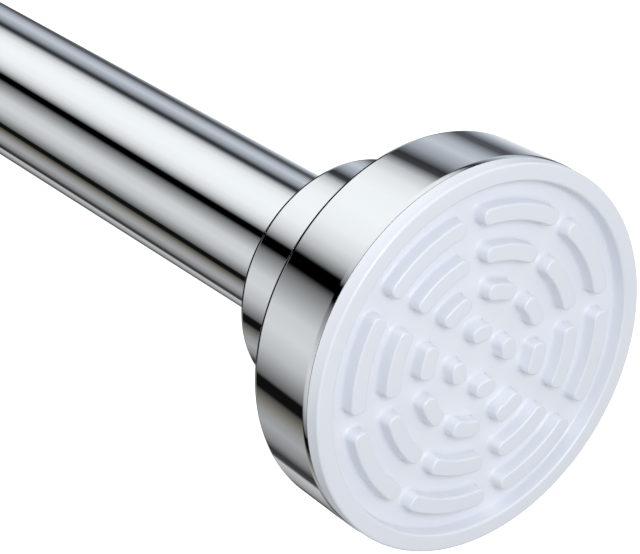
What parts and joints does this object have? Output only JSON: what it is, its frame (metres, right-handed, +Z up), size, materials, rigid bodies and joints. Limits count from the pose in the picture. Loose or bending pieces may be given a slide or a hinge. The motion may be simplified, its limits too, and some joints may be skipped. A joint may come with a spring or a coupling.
{
  "type": "spring tension rod",
  "caption": "Telescoping chromed rod with a sprung twist lock inside and round rubber-faced caps that press between two walls.",
  "frame": {"origin": "centre of the outer tube's wall pad, in the plane of its face", "axes": "+X out of that pad along the rod, +Z up, the rod runs to -X"},
  "size_m": [0.72, 0.0638, 0.0638],
  "materials": {
    "chrome_tube": "mirror chrome plate",
    "chrome_cap": "mirror chrome plate",
    "white_rubber": "soft matt rubber",
    "white_plastic": "satin moulded",
    "natural_plastic": "natural moulded",
    "grey_plastic": "satin moulded",
    "zinc_steel": "bright zinc plate"
  },
  "bodies": {
    "outer": {"outer_tube": "chrome_tube", "tube_mouth_ring": "white_plastic", "cap_shell_a": "chrome_cap", "wall_pad_a": "white_rubber", "pad_core_a": "natural_plastic", "end_plug_a": "natural_plastic", "cap_screw_a": "zinc_steel", "cap_washer_a": "zinc_steel"},
    "drag": {"drag_ring": "grey_plastic"},
    "lock": {"cam_core": "grey_plastic", "cam_retainer": "grey_plastic", "cam_screw": "zinc_steel", "guide_shaft": "zinc_steel", "shaft_pin": "zinc_steel", "stop_washer": "zinc_steel", "stop_nut": "zinc_steel", "seat_washer": "zinc_steel", "spring": "zinc_steel"},
    "cam": {"cam_wheel": "grey_plastic"},
    "inner": {"inner_tube": "chrome_tube", "tube_bush": "natural_plastic", "cap_shell_b": "chrome_cap", "wall_pad_b": "white_rubber", "pad_core_b": "natural_plastic", "end_plug_b": "natural_plastic", "cap_screw_b": "zinc_steel", "cap_washer_b": "zinc_steel"}
  },
  "joints": [
    {"name": "telescope", "type": "slide", "parent": "outer", "child": "drag", "axis": [-1, 0, 0], "range_m": [-0.03, 0.35]},
    {"name": "twist_lock", "type": "hinge", "parent": "drag", "child": "lock", "pos_m": [-0.13225, 0, 0], "axis": [1, 0, 0], "range_deg": [0, 40]},
    {"name": "cam_swing", "type": "hinge", "parent": "lock", "child": "cam", "pos_m": [-0.116, 0, 0.0012], "axis": [1, 0, 0], "range_deg": [-40, 0]},
    {"name": "spring_travel", "type": "slide", "parent": "lock", "child": "inner", "axis": [1, 0, 0], "range_m": [0, 0.03], "stiffness_N_per_m": 4000, "springref_m": -0.008, "deforming": ["spring"]}
  ],
  "couplings": [
    {"joint": "cam_swing", "follows": "twist_lock", "ratio": -1}
  ]
}
